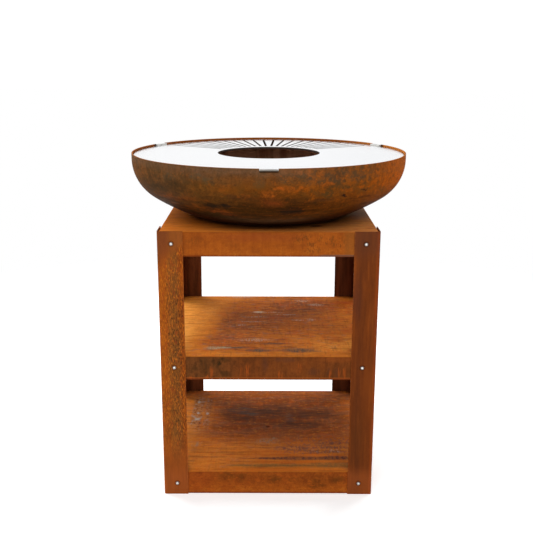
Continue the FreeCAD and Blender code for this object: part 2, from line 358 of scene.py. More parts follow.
    # worn brighter along the fold and the cut edges
    worn = n.mul(n.top(n.step(s, 0.0045, 0.0015), n.step(s, 0.0665, 0.0685)), n.step(c, 0.40, 0.60))
    color = n.mix(n.mul(n.mul(worn, n.sub(1.0, inside)), 0.30), color, srgb(186, 100, 42))
    h = n.add(n.mul(b, 0.6), n.mad(d1, 0.5, n.mul(c, 0.5)))
    rough = n.step(v, 0.2, 0.9, 0.70, 0.92)
    return n.shader(color, rough, 0.0, n.bump(h, 0.40, 0.0009), 0.03)


for post, sx, sy, seed, smooth, mottled, front in (
    ("front_left_post", -1, -1, 1.0, 0.64, 0.9, "mottled"),
    ("front_right_post", 1, -1, 12.0, 0.47, 0.35, "calm"),
    ("rear_left_post", -1, 1, 23.0, 0.58, 0.7, ""),
    ("rear_right_post", 1, 1, 34.0, 0.52, 0.5, ""),
):
    dress(post, post_material(post + "_rust", sx, sy, seed, smooth, mottled, front))


# -------------------------------------------------------------------- trays
def tray_material(name, z_top, seed, paint_top, paint_lip):
    n = Net(name)
    flat = n.step(n.NZ, 0.62, 0.95)
    under = n.step(n.NZ, -0.35, -0.8)
    top, top_h = paint_top(n, seed)
    lip, lip_h = paint_lip(n, seed + 40, z_top)
    color = n.mix(flat, lip, top)
    vu, au, bu, cu = grain(n, (1, 1, 1), seed + 60, 0.16, 0.16, 0.08, 0.36)
    color = n.mix(under, color, n.ramp(vu, OLIVE))
    # a painted highlight along the fold, a redder line along the cut lower edge
    fold_highlight = n.mul(n.step(n.NZ, 0.55, 0.80), n.step(n.NZ, 0.995, 0.95))
    color = n.mix(n.mul(fold_highlight, 0.34), color, srgb(190, 104, 38))
    edge = n.step(n.sub(n.Z, z_top - 0.068), 0.0055, 0.0025)
    color = n.mix(n.mul(edge, 0.55), color, srgb(104, 40, 16))
    h = n.lerp(flat, lip_h, top_h)
    rough = n.step(vu, 0.2, 0.8, 0.68, 0.90)
    return n.shader(color, rough, 0.0, n.bump(h, 0.35, 0.0009), 0.02)


def sheet_grain(n, seed, cloud, streak, fine, bias):
    """Patina value of a tray's upper face: clouds, short streaks along X and fine grain."""
    a = n.noise((4, 7, 1), 3, 0.5, seed)
    b = n.noise((30, 76, 1), 4, 0.64, seed + 1)
    c = n.noise((190, 110, 1), 2, 0.5, seed + 2)
    v = n.mad(n.sub(a, 0.5), cloud * 2, bias)
    v = n.mad(n.sub(b, 0.5), streak * 2, v)
    v = n.mad(n.sub(c, 0.5), fine * 2, v)
    return v, a, b, c


def rolled(n, seed):
    """Long lines along X, as the rolled sheet has."""
    return n.noise((8, 98, 1), 2, 0.55, seed)


def strokes(n, color, seed, amount):
    """Short strokes across the sheet, orange and dark."""
    s = n.noise((125, 15, 1), 3, 0.58, seed)
    color = n.mix(n.mul(n.step(s, 0.53, 0.68, 0.0, 0.46), amount), color, srgb(186, 88, 26))
    return n.mix(n.mul(n.step(s, 0.46, 0.33, 0.0, 0.34), amount), color, srgb(92, 50, 30))


def broken(n, seed, along=150):
    """Breaks a mark up into dots and short dashes."""
    return n.step(n.noise((along, 62, 1), 3, 0.62, seed), 0.42, 0.58)


def motley(n, color, seed, amount, cool=1.0):
    """Short flecks of red, dark brown, grey-purple and yellow rust lying along X."""
    red = n.step(n.noise((40, 78, 1), 3, 0.6, seed), 0.52, 0.64)
    color = n.mix(n.mul(n.mul(red, 0.50), amount), color, srgb(176, 78, 28))
    brown = n.step(n.noise((26, 88, 1), 3, 0.6, seed + 0.3), 0.51, 0.64)
    color = n.mix(n.mul(n.mul(brown, 0.46), amount), color, srgb(84, 50, 30))
    grey = n.step(n.noise((30, 70, 1), 3, 0.6, seed + 0.6), 0.54, 0.66)
    color = n.mix(n.mul(n.mul(grey, 0.44 * cool), amount), color, srgb(128, 98, 82))
    gold = n.step(n.noise((54, 92, 1), 3, 0.6, seed + 0.9), 0.54, 0.66)
    return n.mix(n.mul(n.mul(gold, 0.44), amount), color, srgb(206, 122, 44))


def top_plate_top(n, seed):
    right = n.step(n.shake(n.X, 0.04, (9, 9, 9), seed + 9), -0.22, 0.12)
    v, a, b, c = sheet_grain(n, seed, 0.07, 0.08, 0.05, n.lerp(right, 0.79, 0.805))
    color = n.ramp(v, RUST)
    color = n.mix(n.mul(n.sub(1.0, right), 0.36), color, srgb(210, 102, 26))
    color = n.mix(n.mul(right, 0.40), color, srgb(154, 108, 72))
    color = motley(n, color, seed + 3, n.lerp(right, 0.30, 0.55))
    line = rolled(n, seed + 4)
    color = n.mix(n.step(line, 0.52, 0.66, 0.0, 0.30), color, srgb(106, 62, 30))
    grey = n.blob(n.shake(n.X, 0.02, 30, seed + 5), n.Y, 0.270, 0.03, 0.072, 0.19)
    color = n.mix(n.mul(grey, 0.62), color, srgb(138, 124, 112))
    color = n.mix(n.mul(n.blob(n.X, n.Y, 0.131, -0.218, 0.026, 0.014), 0.8), color, SOOT_SHADE)
    # painted light: a brighter strip along the front edge, where light falls past the bowl
    lead = n.step(n.shake(n.Y, 0.006, (14, 14, 1), seed + 7), -0.262, -0.284)
    color = n.mix(n.mul(lead, 0.28), color, srgb(202, 116, 42))
    # soot and painted shade under the bowl, darkest round the seat
    r = n.math("SQRT", n.add(n.mul(n.X, n.X), n.mul(n.Y, n.Y)))
    soot_and_shade = n.step(n.shake(r, 0.012, 25, seed + 6), 0.256, 0.222)
    color = n.mix(n.mul(soot_and_shade, n.lerp(right, 0.78, 0.64)), color, SOOT_SHADE)
    # painted shadow of the bowl across the front of the plate
    color = n.mix(n.mul(n.blob(n.X, n.Y, -0.02, -0.236, 0.160, 0.036), 0.48), color, srgb(38, 28, 21))
    return color, n.add(b, n.mul(c, 0.7))


def top_plate_lip(n, seed, z_top):
    v, a, b, c = grain(n, (0.8, 0.8, 0.8), seed, 0.12, 0.12, 0.08, n.step(n.Z, 0.740, 0.712, 0.538, 0.572))
    color = n.ramp(v, RUST)
    stripe = n.noise((150, 150, 9), 3, 0.55, seed + 3)
    color = n.mix(n.step(stripe, 0.52, 0.66, 0.0, 0.20), color, srgb(116, 54, 18))
    color = n.mix(n.step(stripe, 0.46, 0.32, 0.0, 0.14), color, srgb(184, 96, 28))
    cloud = n.noise((26, 26, 52), 4, 0.6, seed + 11)
    color = n.mix(n.step(cloud, 0.50, 0.66, 0.0, 0.34), color, srgb(118, 58, 22))
    color = n.mix(n.step(cloud, 0.46, 0.34, 0.0, 0.26), color, srgb(178, 94, 30))
    front = n.step(n.NY, -0.5, -0.8)
    # a redder stain along the upper middle
    stain = n.blob(n.shake(n.X, 0.05, 12, seed + 9), n.shake(n.Z, 0.012, 30, seed + 10), -0.02, 0.758, 0.20, 0.022, 0.9)
    color = n.mix(n.mul(n.mul(stain, front), 0.46), color, srgb(136, 62, 28))
    xk, zk = n.shake(n.X, 0.014, 40, seed + 5), n.shake(n.Z, 0.010, 40, seed + 6)
    speck = n.step(n.noise((250, 250, 95), 3, 0.6, seed + 4, 0.6), 0.50, 0.62)
    near = n.patches(xk, zk, ((0.130, 0.752, 0.100, 0.022), (0.118, 0.730, 0.036, 0.026), (0.190, 0.738, 0.040, 0.022)), 0.6)
    left = n.patches(xk, zk, ((-0.200, 0.750, 0.034, 0.016), (-0.084, 0.731, 0.012, 0.012), (0.002, 0.729, 0.016, 0.008)), 0.7)
    every = n.step(n.noise(7, 2, 0.5, seed + 7), 0.46, 0.66)
    speck = n.mul(speck, n.lerp(front, every, n.top(near, n.mul(n.top(left, every), 0.5))))
    color = n.mix(n.mul(speck, 0.60), color, srgb(80, 52, 22))
    olive = n.mul(n.step(n.shake(n.X, 0.012, (40, 40, 8), seed + 8), 0.196, 0.212), front)
    color = n.mix(n.mul(olive, 0.36), color, srgb(124, 82, 36))
    strip = n.mul(n.mul(n.step(n.X, 0.13, 0.145), front), n.step(n.Z, z_top - 0.0615, z_top - 0.0635))
    color = n.mix(n.mul(strip, 0.85), color, srgb(112, 84, 66))
    return color, n.add(b, n.mul(c, 0.7))


def middle_top(n, seed):
    xs = n.shake(n.X, 0.040, (8, 9, 1), seed + 9)
    # lighter on the left: partly lighter rust and partly painted light from the open left side
    bright = n.step(n.add(xs, n.mad(n.Y, -0.21, 0.166)), 0.058, -0.050)
    right = n.step(n.shake(n.X, 0.035, (9, 12, 1), seed + 8), 0.10, 0.25)
    lead = n.step(n.shake(n.Y, 0.016, (14, 14, 1), seed + 7), -0.236, -0.272)
    rear = n.step(n.shake(n.Y, 0.02, (14, 14, 1), seed + 6), 0.195, 0.265)
    bias = n.lerp(bright, n.lerp(right, 0.615, 0.690), n.lerp(n.step(n.X, -0.20, -0.280), 0.825, n.step(n.Y, 0.04, -0.12, 0.940, 1.010)))
    yt = n.shake(n.Y, 0.04, (7, 10, 1), seed + 22)
    tilt = n.mul(n.sub(n.step(yt, -0.05, -0.20, 0.0, 0.165), n.step(yt, 0.06, 0.20, 0.0, 0.110)), n.step(n.X, -0.08, 0.14))
    bias = n.add(bias, tilt)
    bias = n.lerp(n.top(lead, n.mul(rear, 0.6)), bias, 0.74)
    v, a, b, c = sheet_grain(n, seed, 0.06, 0.10, 0.06, bias)
    color = n.ramp(v, RUST)
    bare = n.sub(1.0, n.top(bright, n.top(lead, n.mul(right, 0.5))))
    # thin grey-brown scale over the middle
    film = n.noise((9, 30, 1), 4, 0.62, seed + 10)
    veil = n.patches(xs, n.shake(n.Y, 0.03, (9, 14, 1), seed + 17), ((0.02, 0.055, 0.18, 0.11), (-0.08, -0.02, 0.12, 0.09), (0.12, 0.18, 0.16, 0.10), (-0.115, -0.120, 0.085, 0.080), (-0.140, -0.215, 0.060, 0.050)), 0.8)
    color = n.mix(n.mul(n.mul(n.step(film, 0.36, 0.60, 0.16, 0.76), bare), n.mad(veil, 0.85, 0.15)), color, srgb(112, 68, 48))
    color = motley(n, color, seed + 3, n.mad(bare, 0.60, 0.45))
    line = rolled(n, seed + 4)
    color = n.mix(n.mul(n.step(line, 0.50, 0.62, 0.0, 0.40), bright), color, srgb(160, 84, 26))
    color = n.mix(n.mul(n.step(line, 0.52, 0.64, 0.0, 0.28), n.sub(1.0, bright)), color, srgb(96, 54, 30))
    ruddy = n.mul(n.step(n.noise((16, 24, 1), 4, 0.62, seed + 21), 0.48, 0.64), n.sub(1.0, bright))
    color = n.mix(n.mul(ruddy, n.mad(right, 0.34, 0.20)), color, srgb(158, 70, 30))
    color = strokes(n, color, seed + 19, n.lerp(bright, n.mad(right, 0.05, 0.85), 0.12))
    # dark, long lens marks near the front, pale scuffs where the scale was rubbed off
    xk, yk = n.shake(n.X, 0.014, (60, 40, 1), seed + 12), n.shake(n.Y, 0.007, (60, 40, 1), seed + 13)
    lens = n.patches(xk, yk, ((0.083, -0.244, 0.076, 0.026), (-0.026, -0.246, 0.056, 0.018), (-0.09, -0.224, 0.06, 0.010), (0.02, -0.19, 0.05, 0.008)))
    color = n.mix(n.mul(lens, n.mad(broken(n, seed + 15), 0.36, 0.60)), color, srgb(86, 70, 58))
    chips = n.step(n.noise((240, 75, 1), 3, 0.65, seed + 14), 0.40, 0.58)
    scuffs = n.patches(xk, yk, (
        (-0.040, -0.158, 0.066, 0.020), (-0.027, 0.105, 0.034, 0.010), (0.012, 0.108, 0.050, 0.007),
        (-0.083, -0.021, 0.018, 0.009), (0.097, 0.029, 0.030, 0.013), (0.135, 0.033, 0.016, 0.022),
        (0.159, 0.192, 0.034, 0.022), (0.118, 0.235, 0.034, 0.020), (-0.092, 0.277, 0.066, 0.016),
        (-0.05, 0.012, 0.06, 0.008), (-0.04, 0.06, 0.05, 0.008), (0.06, 0.085, 0.05, 0.010)))
    color = n.mix(n.mul(n.mul(scuffs, chips), 0.54), color, srgb(166, 152, 134))
    smear = n.patches(xk, yk, ((-0.152, -0.226, 0.036, 0.017), (-0.125, -0.222, 0.03, 0.009)))
    color = n.mix(n.mul(smear, n.mad(chips, 0.40, 0.30)), color, srgb(150, 146, 118))
    glint = n.blob(n.shake(n.X, 0.006, (60, 40, 1), seed + 16), n.shake(n.Y, 0.003, (60, 40, 1), seed + 18), -0.030, 0.112, 0.026, 0.007, 0.8)
    color = n.mix(n.mul(glint, 0.75), color, srgb(226, 208, 176))
    return color, n.add(n.mul(b, 1.0), n.mad(line, 0.5, n.mul(c, 0.6)))


def middle_lip(n, seed, z_top):
    v, a, b, c = grain(n, (0.9, 0.9, 0.8), seed, 0.14, 0.13, 0.07, 0.350)
    color = n.mix(0.30, n.ramp(v, RUST), n.ramp(n.add(v, 0.12), OLIVE))
    front = n.step(n.NY, -0.5, -0.8)
    down = n.sub(z_top, n.Z)
    xb, db = n.shake(n.X, 0.012, (50, 50, 40), seed + 3), n.shake(down, 0.010, (50, 50, 40), seed + 4)
    left = n.step(n.shake(n.X, 0.04, (14, 14, 8), seed + 13), -0.07, -0.17)
    moss = n.lerp(front, n.step(n.noise(5, 3, 0.5, seed + 14), 0.46, 0.60), left)
    color = n.mix(n.mul(moss, 0.50), color, n.ramp(n.add(v, 0.05), OLIVE))
    pits = n.step(n.noise((62, 62, 50), 4, 0.6, seed + 5), 0.52, 0.66)
    color = n.mix(n.mul(pits, n.lerp(moss, 0.26, 0.50)), color, srgb(52, 33, 15))
    # dark green and brown blotches on the left, smoky ones along the fold
    blotch = n.patches(xb, db, (
        (-0.176, 0.024, 0.020, 0.032), (-0.152, 0.020, 0.010, 0.018), (-0.138, 0.022, 0.011, 0.020), (-0.122, 0.008, 0.026, 0.010),
        (-0.120, 0.050, 0.022, 0.014), (-0.205, 0.036, 0.012, 0.012)), 0.8)
    color = n.mix(n.mul(n.mul(blotch, front), n.mad(pits, 0.30, 0.50)), color, srgb(42, 34, 16))
    smoky = n.patches(xb, db, (
        (-0.008, 0.022, 0.014, 0.034), (0.028, 0.008, 0.014, 0.010), (0.058, 0.010, 0.034, 0.010), (0.124, 0.044, 0.024, 0.018),
        (0.168, 0.046, 0.010, 0.022), (0.190, 0.048, 0.012, 0.022)), 0.8)
    color = n.mix(n.mul(n.mul(smoky, front), 0.46), color, srgb(84, 50, 34))
    far = n.mul(n.step(n.X, 0.10, 0.18), front)
    color = n.mix(n.mul(n.mul(n.step(db, 0.020, 0.008), far), 0.34), color, srgb(150, 74, 28))
    color = n.mix(n.mul(n.mul(n.step(db, 0.026, 0.046), far), 0.34), color, srgb(72, 42, 20))
    pour = n.noise((165, 165, 17), 3, 0.58, seed + 9)
    color = n.mix(n.step(pour, 0.52, 0.66, 0.0, 0.26), color, srgb(62, 33, 15))
    color = n.mix(n.step(pour, 0.46, 0.33, 0.0, 0.14), color, srgb(146, 70, 24))
    run = n.step(n.noise((300, 300, 30), 2, 0.5, seed + 6), 0.42, 0.58)
    xk = n.shake(n.X, 0.004, (60, 60, 30), seed + 7)
    drip = n.patches(xk, down, (
        (-0.158, 0.048, 0.007, 0.026), (-0.170, 0.062, 0.006, 0.014), (-0.076, 0.046, 0.007, 0.024), (-0.057, 0.042, 0.012, 0.026),
        (0.033, 0.054, 0.009, 0.018), (0.086, 0.036, 0.012, 0.028), (0.172, 0.050, 0.007, 0.024), (0.196, 0.046, 0.005, 0.026),
        (0.212, 0.046, 0.008, 0.030), (-0.215, 0.064, 0.010, 0.010)))
    others = n.mul(n.step(n.noise((120, 120, 6), 2, 0.5, seed + 8), 0.58, 0.70), n.step(down, 0.012, 0.04))
    drip = n.lerp(front, others, n.mul(drip, run))
    color = n.mix(n.mul(drip, 0.48), color, srgb(172, 78, 24))
    hem = n.mul(n.step(down, 0.0605, 0.0625), n.step(down, 0.0655, 0.0640))
    color = n.mix(n.mul(hem, 0.35), color, srgb(186, 92, 34))
    return color, n.add(b, n.mul(c, 0.7))


def bottom_top(n, seed):
    xs = n.shake(n.X, 0.04, (8, 10, 1), seed + 9)
    ys = n.shake(n.Y, 0.035, (7, 10, 1), seed + 8)
    left = n.step(xs, -0.11, -0.25)
    fore = n.step(ys, 0.00, -0.15)
    lead = n.step(n.shake(n.Y, 0.010, (14, 14, 1), seed + 7), -0.258, -0.278)
    rear = n.step(n.shake(n.Y, 0.016, (14, 14, 1), seed + 6), 0.205, 0.275)
    wing = n.step(xs, 0.22, 0.285)
    # lighter on the left and at the front, darker at the back from the middle to the right: partly the rust's tone and
    # partly painted light and shade
    bias = n.lerp(fore, n.lerp(left, 0.440, 0.725), n.lerp(n.step(xs, -0.05, 0.14), n.step(n.X, -0.20, -0.28, 0.672, 0.730), 0.630))
    bias = n.lerp(n.top(lead, n.mul(wing, 0.6)), bias, 0.68)
    bias = n.lerp(rear, bias, 0.545)
    v, a, b, c = sheet_grain(n, seed, 0.06, 0.10, 0.06, bias)
    color = n.ramp(v, RUST)
    line = rolled(n, seed + 4)
    film = n.noise((8, 30, 1), 4, 0.62, seed + 10)
    worn = n.sub(1.0, n.top(lead, n.mul(fore, 0.7)))
    color = n.mix(n.mul(n.step(film, 0.38, 0.64, 0.05, 0.36), worn), color, srgb(120, 86, 66))
    color = motley(n, color, seed + 3, n.lerp(worn, 0.45, 0.80), 0.55)
    color = n.mix(n.mul(n.step(line, 0.51, 0.64, 0.0, 0.38), n.lerp(worn, 1.0, 0.60)), color, srgb(78, 42, 20))
    color = strokes(n, color, seed + 27, n.lerp(worn, 0.55, 0.45))
    color = n.mix(n.mul(n.step(line, 0.46, 0.36, 0.0, 0.30), n.sub(1.0, worn)), color, srgb(192, 98, 30))
    xk, yk = n.shake(n.X, 0.016, (50, 36, 1), seed + 12), n.shake(n.Y, 0.010, (50, 36, 1), seed + 13)
    # dark streaked patches, cool at their left ends
    streak = n.step(n.noise((14, 90, 1), 3, 0.62, seed + 14), 0.42, 0.58)
    dark = n.patches(xk, yk, ((-0.090, 0.098, 0.100, 0.092), (0.150, 0.092, 0.130, 0.048), (0.10, 0.015, 0.11, 0.04), (0.02, 0.12, 0.10, 0.07)), 0.6)
    color = n.mix(n.mul(dark, n.mad(streak, 0.46, 0.22)), color, srgb(60, 42, 33))
    cool = n.patches(xk, yk, ((0.067, 0.090, 0.018, 0.040), (-0.09, 0.128, 0.065, 0.030), (0.075, 0.052, 0.026, 0.022), (-0.06, 0.092, 0.06, 0.020)))
    color = n.mix(n.mul(cool, n.mad(streak, 0.40, 0.04)), color, srgb(88, 82, 76))
    # front right: orange lines, and between them purple and greenish bands with a fine stipple
    fine = n.step(n.noise((120, 62, 1), 3, 0.6, seed + 15), 0.40, 0.60)
    ya, yb = n.shake(n.Y, 0.005, (26, 36, 1), seed + 24), n.shake(n.Y, 0.003, (20, 36, 1), seed + 25)
    glow = n.patches(n.X, yb, ((0.08, -0.192, 0.24, 0.011), (0.10, -0.236, 0.24, 0.011), (0.02, -0.172, 0.12, 0.014), (0.05, -0.280, 0.30, 0.014)), 0.7)
    color = n.mix(n.mul(glow, 0.42), color, srgb(186, 88, 20))
    bands = n.patches(xk, ya, ((0.190, -0.143, 0.090, 0.016), (0.165, -0.171, 0.110, 0.015), (0.08, -0.150, 0.10, 0.020), (0.20, -0.115, 0.09, 0.016)), 0.8)
    color = n.mix(n.mul(bands, n.mad(fine, 0.58, 0.12)), color, srgb(68, 50, 52))
    spark = n.mul(n.blob(xk, ya, 0.185, -0.166, 0.070, 0.016), n.step(n.noise((150, 80, 1), 2, 0.5, seed + 26), 0.54, 0.64))
    color = n.mix(n.mul(spark, 0.50), color, srgb(150, 132, 122))
    dust = n.mul(n.step(xk, -0.04, 0.10), n.mul(n.step(yk, -0.045, -0.085), n.step(yk, -0.210, -0.180)))
    dots = n.step(n.noise((130, 66, 1), 2, 0.55, seed + 28), 0.50, 0.62)
    color = n.mix(n.mul(n.mul(dust, dots), 0.46), color, srgb(92, 68, 60))
    band = n.patches(xk, yb, ((0.090, -0.214, 0.200, 0.011), (0.205, -0.209, 0.070, 0.016)), 0.6)
    color = n.mix(n.mul(band, n.mad(fine, 0.40, 0.46)), color, srgb(58, 42, 42))
    green = n.patches(xk, ya, ((0.04, -0.257, 0.21, 0.013), (0.18, -0.254, 0.11, 0.024), (-0.06, -0.258, 0.10, 0.010)))
    color = n.mix(n.mul(green, n.mad(fine, 0.36, 0.40)), color, srgb(104, 80, 42))
    # grey-blue flecks in two columns at the back left, grey scuff in front of the drain
    xc = n.shake(n.X, 0.006, (40, 30, 1), seed + 20)
    columns = n.top(n.mul(n.step(xc, -0.258, -0.247), n.step(xc, -0.212, -0.222)), n.mul(n.mul(n.step(xc, -0.214, -0.208), n.step(xc, -0.186, -0.196)), 0.75))
    yc = n.shake(n.Y, 0.03, (24, 12, 1), seed + 21)
    zone = n.mul(n.mul(columns, n.step(yc, -0.05, 0.03)), n.step(yc, 0.245, 0.205))
    weave = n.noise((104, 92, 1), 3, 0.6, seed + 17)
    mottle = n.ramp(weave, [(0.36, srgb(66, 42, 38)), (0.48, srgb(112, 76, 54)), (0.56, srgb(114, 96, 82)), (0.68, srgb(136, 130, 120))])
    color = n.mix(n.mul(zone, n.step(n.math("ABSOLUTE", n.sub(weave, 0.49)), 0.0, 0.11, 0.28, 0.64)), color, mottle)
    bright = n.patches(n.shake(n.X, 0.003, (90, 60, 1), seed + 22), n.shake(n.Y, 0.005, (90, 60, 1), seed + 23), ((-0.231, 0.054, 0.012, 0.012), (-0.233, 0.101, 0.006, 0.012), (-0.201, 0.098, 0.007, 0.012), (-0.236, 0.190, 0.007, 0.014)), 0.7)
    color = n.mix(n.mul(bright, 0.50), color, srgb(160, 164, 158))
    scuff = n.patches(xk, yk, ((-0.003, -0.102, 0.050, 0.030), (-0.216, -0.124, 0.022, 0.024), (0.02, -0.085, 0.018, 0.012)))
    color = n.mix(n.mul(scuff, n.mad(broken(n, seed + 18), 0.42, 0.10)), color, srgb(128, 110, 88))
    r = n.math("SQRT", n.add(n.mul(n.X, n.X), n.mul(n.Y, n.Y)))
    color = n.mix(n.step(r, 0.010, 0.0035, 0.0, 0.75), color, srgb(40, 20, 10))
    return color, n.add(n.mul(b, 1.0), n.mad(line, 0.5, n.mul(c, 0.6)))


def bottom_lip(n, seed, z_top):
    v, a, b, c = grain(n, (0.8, 0.8, 0.8), seed, 0.10, 0.15, 0.11, n.step(n.Z, 0.046, 0.014, 0.476, 0.575))
    color = n.ramp(v, RUST)
    color = n.mix(n.step(a, 0.40, 0.62, 0.0, 0.40), color, srgb(148, 62, 22))
    front = n.step(n.NY, -0.5, -0.8)
    xk, zk = n.shake(n.X, 0.014, 40, seed + 3), n.shake(n.Z, 0.010, 40, seed + 4)
    stains = n.patches(xk, zk, (
        (-0.112, 0.054, 0.040, 0.022), (-0.070, 0.052, 0.044, 0.022), (0.018, 0.046, 0.044, 0.020), (0.147, 0.042, 0.040, 0.026),
        (0.140, 0.026, 0.044, 0.014), (0.200, 0.044, 0.036, 0.022), (0.070, 0.046, 0.026, 0.012)), 1.0)
    stains = n.lerp(front, n.step(n.noise(9, 3, 0.5, seed + 5), 0.54, 0.68), stains)
    mesh = n.step(n.noise((90, 90, 90), 4, 0.62, seed + 6), 0.40, 0.58)
    color = n.mix(n.mul(stains, n.mad(mesh, 0.52, 0.12)), color, srgb(80, 48, 16))
    fleck = n.step(n.noise((70, 70, 130), 3, 0.6, seed + 7), 0.54, 0.66)
    color = n.mix(n.mul(fleck, 0.32), color, srgb(184, 88, 24))
    pits = n.step(n.noise((110, 110, 150), 3, 0.6, seed + 8), 0.55, 0.68)
    color = n.mix(n.mul(pits, 0.30), color, srgb(84, 38, 14))
    return color, n.add(b, n.mul(c, 0.7))


dress("top_plate", tray_material("top_plate_rust", 0.7725, 3.0, top_plate_top, top_plate_lip))
dress("middle_shelf", tray_material("middle_shelf_rust", 0.420, 5.0, middle_top, middle_lip))
dress("bottom_shelf", tray_material("bottom_shelf_rust", 0.069, 7.0, bottom_top, bottom_lip))


# --------------------------------------------------------------------- bowl
def bowl_material():
    n = Net("bowl_rust")
    # the outside looks away from the centre of the crown's sphere, the inside towards it
    out = n.add(n.add(n.mul(n.NX, n.X), n.mul(n.NY, n.Y)), n.mul(n.NZ, n.sub(n.Z, 1.2)))
    inner = n.step(out, 0.02, -0.02)
    rim = n.mul(n.step(n.NZ, 0.3, 0.7), n.step(n.Z, 0.945, 0.949))
    a0 = n.noise((3.2, 3.2, 6), 3, 0.55, 9.0)
    xs = n.mad(n.sub(a0, 0.5), 0.22, n.X)
    warm = n.step(xs, -0.24, 0.14, 0.0, 0.85)
    right = n.step(xs, -0.08, 0.10)
    # darker low on the bowl: painted shade below the light from above
    high = n.step(n.mad(n.sub(a0, 0.5), 0.03, n.Z), 0.824, 0.914)
    bias = n.lerp(high, n.lerp(n.step(xs, 0.03, 0.18), 0.150, 0.325), n.mad(n.step(xs, 0.20, 0.30), 0.05, n.lerp(right, 0.436, 0.610)))
    v, a, b, c = grain(n, (0.8, 0.8, 1.0), 9.0, 0.14, 0.20, 0.12, bias)
    color = n.mix(warm, n.ramp(n.add(v, 0.01), OLIVE), n.ramp(v, AMBER))
    # upright streaks below the rim, level brush marks lower down
    fall = n.noise((95, 95, 10), 3, 0.6, 9.3)
    upper = n.step(n.Z, 0.870, 0.930)
    upper = n.mul(upper, n.step(n.math("ABSOLUTE", n.X), 0.08, 0.26, 0.45, 1.0))
    color = n.mix(n.mul(n.step(fall, 0.51, 0.64, 0.0, 0.54), upper), color, srgb(58, 40, 20))
    color = n.mix(n.mul(n.mul(n.step(fall, 0.47, 0.34, 0.0, 0.34), upper), n.lerp(right, 0.5, 1.0)), color, srgb(156, 86, 28))
    level = n.noise((12, 12, 125), 3, 0.6, 9.6)
    lower = n.step(n.Z, 0.905, 0.86)
    color = n.mix(n.mul(n.step(level, 0.51, 0.64, 0.0, 0.46), lower), color, srgb(46, 28, 12))
    color = n.mix(n.mul(n.step(level, 0.47, 0.34, 0.0, 0.16), lower), color, srgb(132, 66, 20))
    # smoky grey-olive clouds broken by orange flecks, thickest on the upper right
    cloud = n.noise((30, 30, 40), 3, 0.55, 10.7, 0.4)
    speck = n.noise((120, 120, 130), 3, 0.62, 10.2, 0.6)
    smoke = n.mul(n.step(cloud, 0.42, 0.66), n.step(n.Z, 0.850, 0.905, 0.15, 1.0))
    color = n.mix(n.mul(smoke, n.step(speck, 0.36, 0.58, 0.24, 0.60)), color, srgb(78, 57, 32))
    fleck = n.mul(n.step(speck, 0.45, 0.34), n.lerp(right, 0.25, 0.85))
    color = n.mix(n.mul(n.mul(fleck, n.mad(high, 0.7, 0.3)), 0.48), color, srgb(178, 86, 22))
    pits = n.step(speck, 0.58, 0.70)
    color = n.mix(n.mul(pits, 0.46), color, srgb(42, 27, 13))
    front = n.step(n.Y, -0.02, -0.08)
    # a finer mottle of olive grey and orange over the upper right
    mottle = n.noise((72, 72, 84), 3, 0.6, 12.9, 0.4)
    spread = n.mul(n.step(xs, -0.02, 0.08), n.step(n.Z, 0.868, 0.905))
    color = n.mix(n.mul(n.mul(n.step(mottle, 0.50, 0.62), spread), 0.56), color, srgb(78, 60, 38))
    color = n.mix(n.mul(n.mul(n.step(mottle, 0.46, 0.34), spread), 0.40), color, srgb(170, 86, 26))
    smog = n.patches(xs, n.Z, ((0.140, 0.932, 0.060, 0.040), (0.142, 0.893, 0.055, 0.036)), 0.9)
    color = n.mix(n.mul(n.mul(smog, front), n.step(speck, 0.36, 0.58, 0.28, 0.62)), color, srgb(70, 52, 33))
    xk, zk = n.shake(n.X, 0.020, 60, 11.0), n.shake(n.Z, 0.012, 60, 11.4)
    grey = n.patches(xk, zk, (
        (0.147, 0.936, 0.026, 0.014), (0.195, 0.938, 0.024, 0.012), (0.231, 0.923, 0.040, 0.020), (0.168, 0.920, 0.026, 0.014),
        (0.196, 0.900, 0.038, 0.014), (0.250, 0.888, 0.028, 0.012), (0.129, 0.920, 0.020, 0.014), (0.098, 0.928, 0.030, 0.018),
        (0.313, 0.880, 0.026, 0.018), (0.152, 0.886, 0.050, 0.016), (0.035, 0.930, 0.020, 0.024), (0.060, 0.938, 0.050, 0.012)), 0.95)
    color = n.mix(n.mul(n.mul(grey, front), n.step(speck, 0.36, 0.58, 0.22, 0.74)), color, srgb(76, 59, 39))
    xw, zw = n.shake(n.X, 0.030, 34, 11.7), n.shake(n.Z, 0.022, 34, 11.9)
    blue = n.patches(xw, zw, ((-0.180, 0.928, 0.034, 0.018), (-0.152, 0.918, 0.030, 0.020), (-0.030, 0.914, 0.022, 0.014), (-0.260, 0.920, 0.030, 0.022)), 1.0)
    color = n.mix(n.mul(n.mul(blue, front), n.step(speck, 0.36, 0.58, 0.18, 0.54)), color, srgb(76, 69, 51))
    # painted shade on the left limb, where the bowl turns away from the light
    limb = n.patches(xw, zw, ((-0.298, 0.888, 0.085, 0.040), (-0.250, 0.900, 0.060, 0.030)), 1.0)
    color = n.mix(n.mul(n.mul(limb, front), n.step(speck, 0.36, 0.58, 0.56, 0.86)), color, srgb(56, 42, 26))
    # painted reflected light: warm light brown along the lower left, bounced from the top plate, below the dark left
    # limb
    plate_bounce = n.patches(xw, zw, ((-0.250, 0.862, 0.090, 0.016), (-0.180, 0.838, 0.080, 0.016)), 1.0)
    color = n.mix(n.mul(n.mul(plate_bounce, front), n.step(b, 0.36, 0.60, 0.14, 0.36)), color, srgb(130, 64, 24))
